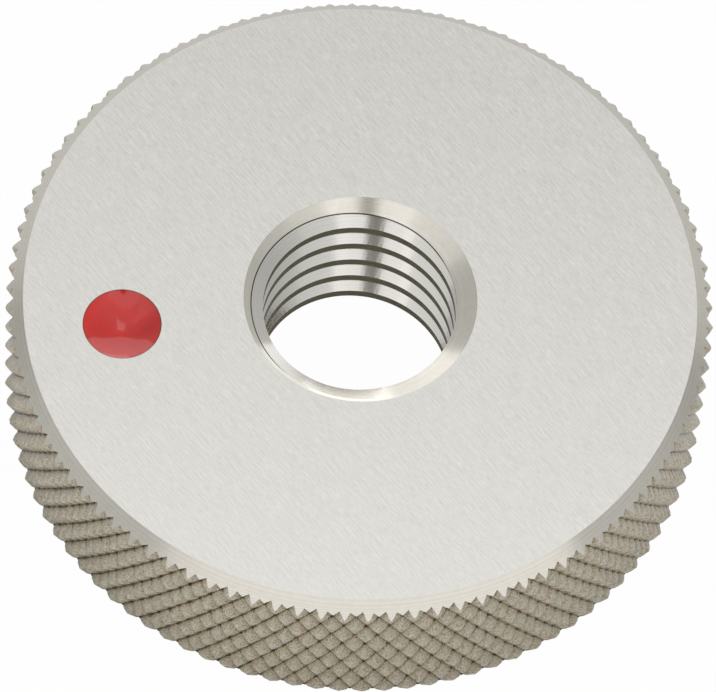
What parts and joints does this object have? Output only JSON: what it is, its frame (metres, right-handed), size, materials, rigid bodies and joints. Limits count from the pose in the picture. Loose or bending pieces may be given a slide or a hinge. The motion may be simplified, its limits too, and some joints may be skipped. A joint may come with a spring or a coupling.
{
  "type": "thread ring gauge",
  "caption": "Solid knurled steel ring with a threaded bore that checks an external screw thread; a red dimple marks it as the not-go gauge.",
  "frame": {"origin": "centre of the underside, on the bore's axis", "axes": "+Z along the bore towards the marked face, -X towards the red dimple"},
  "size_m": [0.038, 0.038, 0.01],
  "materials": {
    "ground_steel": "hardened tool steel, ground on the faces, turned on the chamfers and knurled on the rim",
    "red_lacquer": "glossy red lacquer"
  },
  "bodies": {
    "root": {"ring_body": "ground_steel", "red_marker": "red_lacquer"}
  },
  "joints": []
}
